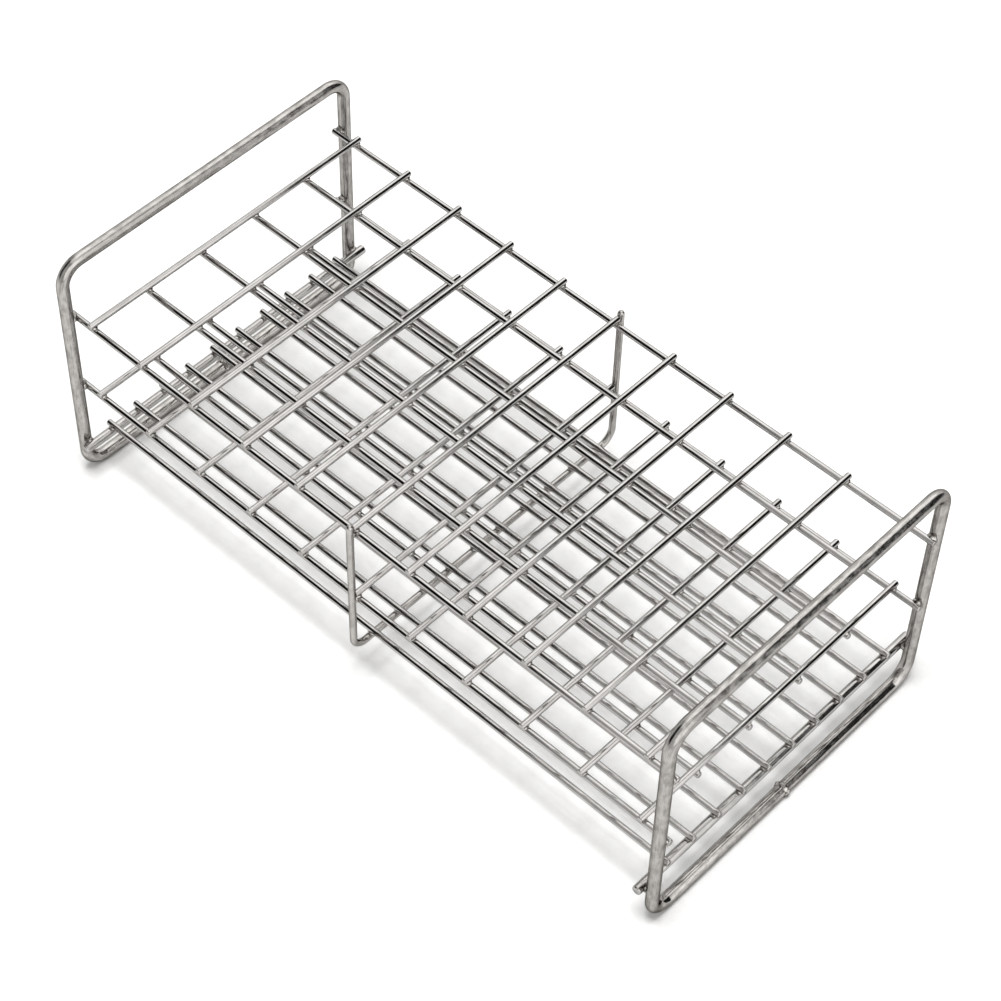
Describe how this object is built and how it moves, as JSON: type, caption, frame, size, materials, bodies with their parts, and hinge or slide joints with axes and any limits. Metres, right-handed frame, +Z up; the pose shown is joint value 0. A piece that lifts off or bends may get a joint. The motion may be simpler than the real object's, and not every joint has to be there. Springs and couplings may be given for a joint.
{
  "type": "test tube rack",
  "caption": "Free-standing open wire rack with stacked square grids over a wire floor and a closed-loop rod handle frame at each end, for holding test tubes upright.",
  "frame": {"origin": "on the surface the rack stands on, under the middle of its footprint", "axes": "+Z up; +X along the row of ten cells, towards the right end frame; +Y along the row of five cells"},
  "size_m": [0.2378, 0.1204, 0.09],
  "materials": {
    "frame_steel": "satin, with fine lengthwise drawing lines",
    "cross_rod_steel": "bright drawn",
    "wire_steel": "electropolished",
    "support_steel": "satin",
    "weld_steel": "as welded, cleaned"
  },
  "bodies": {
    "root": {"centre_support": "support_steel", "cross_rod_welds": "weld_steel", "floor_wire_01": "wire_steel", "floor_wire_02": "wire_steel", "floor_wire_03": "wire_steel", "floor_wire_04": "wire_steel", "floor_wire_05": "wire_steel", "floor_wire_06": "wire_steel", "floor_wire_07": "wire_steel", "floor_wire_08": "wire_steel", "floor_wire_09": "wire_steel", "floor_wire_10": "wire_steel", "frame_butt_welds": "weld_steel", "left_cross_rod": "cross_rod_steel", "left_end_frame": "frame_steel", "mid_cross_wire_01": "wire_steel", "mid_cross_wire_02": "wire_steel", "mid_cross_wire_03": "wire_steel", "mid_cross_wire_04": "wire_steel", "mid_cross_wire_05": "wire_steel", "mid_cross_wire_06": "wire_steel", "mid_cross_wire_07": "wire_steel", "mid_cross_wire_08": "wire_steel", "mid_cross_wire_09": "wire_steel", "mid_cross_wire_10": "wire_steel", "mid_cross_wire_11": "wire_steel", "mid_grid_welds": "weld_steel", "mid_long_wire_1": "wire_steel", "mid_long_wire_2": "wire_steel", "mid_long_wire_3": "wire_steel", "mid_long_wire_4": "wire_steel", "mid_long_wire_5": "wire_steel", "mid_long_wire_6": "wire_steel", "right_cross_rod": "cross_rod_steel", "right_end_frame": "frame_steel", "support_welds": "weld_steel", "top_cross_wire_01": "wire_steel", "top_cross_wire_02": "wire_steel", "top_cross_wire_03": "wire_steel", "top_cross_wire_04": "wire_steel", "top_cross_wire_05": "wire_steel", "top_cross_wire_06": "wire_steel", "top_cross_wire_07": "wire_steel", "top_cross_wire_08": "wire_steel", "top_cross_wire_09": "wire_steel", "top_cross_wire_10": "wire_steel", "top_cross_wire_11": "wire_steel", "top_grid_welds": "weld_steel", "top_long_wire_1": "wire_steel", "top_long_wire_2": "wire_steel", "top_long_wire_3": "wire_steel", "top_long_wire_4": "wire_steel", "top_long_wire_5": "wire_steel", "top_long_wire_6": "wire_steel"}
  },
  "joints": []
}
